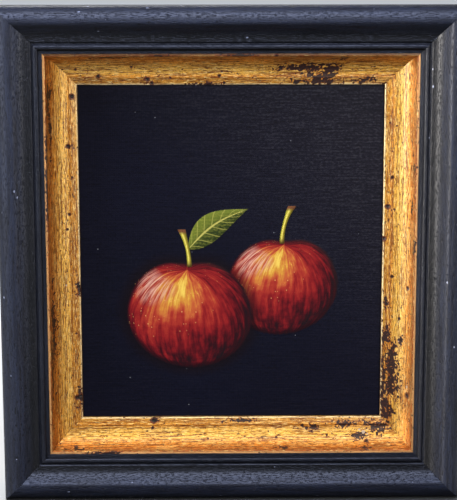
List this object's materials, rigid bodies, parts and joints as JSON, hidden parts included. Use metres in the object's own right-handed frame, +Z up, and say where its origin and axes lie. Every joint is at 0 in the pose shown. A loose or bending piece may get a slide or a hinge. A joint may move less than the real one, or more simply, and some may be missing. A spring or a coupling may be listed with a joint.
{
  "type": "framed painting",
  "caption": "Small oil painting on linen board in a mitred black and gilt scoop frame, with swinging D-ring hangers on its back for hanging on a wall.",
  "frame": {"origin": "middle of the top rail's flat back, where it meets the wall", "axes": "+Z up along the picture's longer side, -Y the way the picture faces, +X to the right as the picture is seen"},
  "size_m": [0.227, 0.0338, 0.244],
  "materials": {
    "black": "black stained open-grained wood, waxed",
    "gilt": "distressed imitation gold leaf over a red-brown bole, on wood",
    "linen": "fine linen under dark oil paint and varnish",
    "board": "fibreboard, raw edges",
    "backing": "brown backing board",
    "crimson": "oil paint, varnished",
    "yellow": "oil paint, varnished",
    "stalk": "oil paint, varnished",
    "leaf": "oil paint, varnished",
    "steel": "zinc plated",
    "tape": "gummed kraft paper",
    "rubber": "matt"
  },
  "bodies": {
    "frame": {"black_rail_top": "black", "black_rail_right": "black", "black_rail_bottom": "black", "black_rail_left": "black", "gilt_rail_top": "gilt", "gilt_rail_right": "gilt", "gilt_rail_bottom": "gilt", "gilt_rail_left": "gilt", "linen": "linen", "panel_board": "board", "backing_board": "backing", "paint_apple_front": "crimson", "paint_apple_rear": "crimson", "paint_flush_front": "yellow", "paint_flush_rear": "yellow", "paint_stalk_front": "stalk", "paint_stalk_rear": "stalk", "paint_leaf": "leaf", "point_top_1": "steel", "point_top_2": "steel", "point_right_1": "steel", "point_right_2": "steel", "point_bottom_1": "steel", "point_bottom_2": "steel", "point_left_1": "steel", "point_left_2": "steel", "black_vnail_top_right": "steel", "black_vnail_bottom_right": "steel", "black_vnail_bottom_left": "steel", "black_vnail_top_left": "steel", "gilt_vnail_top_right": "steel", "gilt_vnail_bottom_right": "steel", "gilt_vnail_bottom_left": "steel", "gilt_vnail_top_left": "steel", "tape_top": "tape", "tape_right": "tape", "tape_bottom": "tape", "tape_left": "tape", "strap_left": "steel", "strap_right": "steel", "screw_left": "steel", "screw_right": "steel", "bumper_left": "rubber", "bumper_right": "rubber"},
    "ring_left": {"d_ring_left": "steel"},
    "ring_right": {"d_ring_right": "steel"}
  },
  "joints": [
    {"name": "ring_left_swing", "type": "hinge", "parent": "frame", "child": "ring_left", "pos_m": [-0.0956, 0.00245, -0.07095], "axis": [0, 0, 1], "range_deg": [0, 155]},
    {"name": "ring_right_swing", "type": "hinge", "parent": "frame", "child": "ring_right", "pos_m": [0.0956, 0.00245, -0.07095], "axis": [0, 0, -1], "range_deg": [0, 155]}
  ]
}
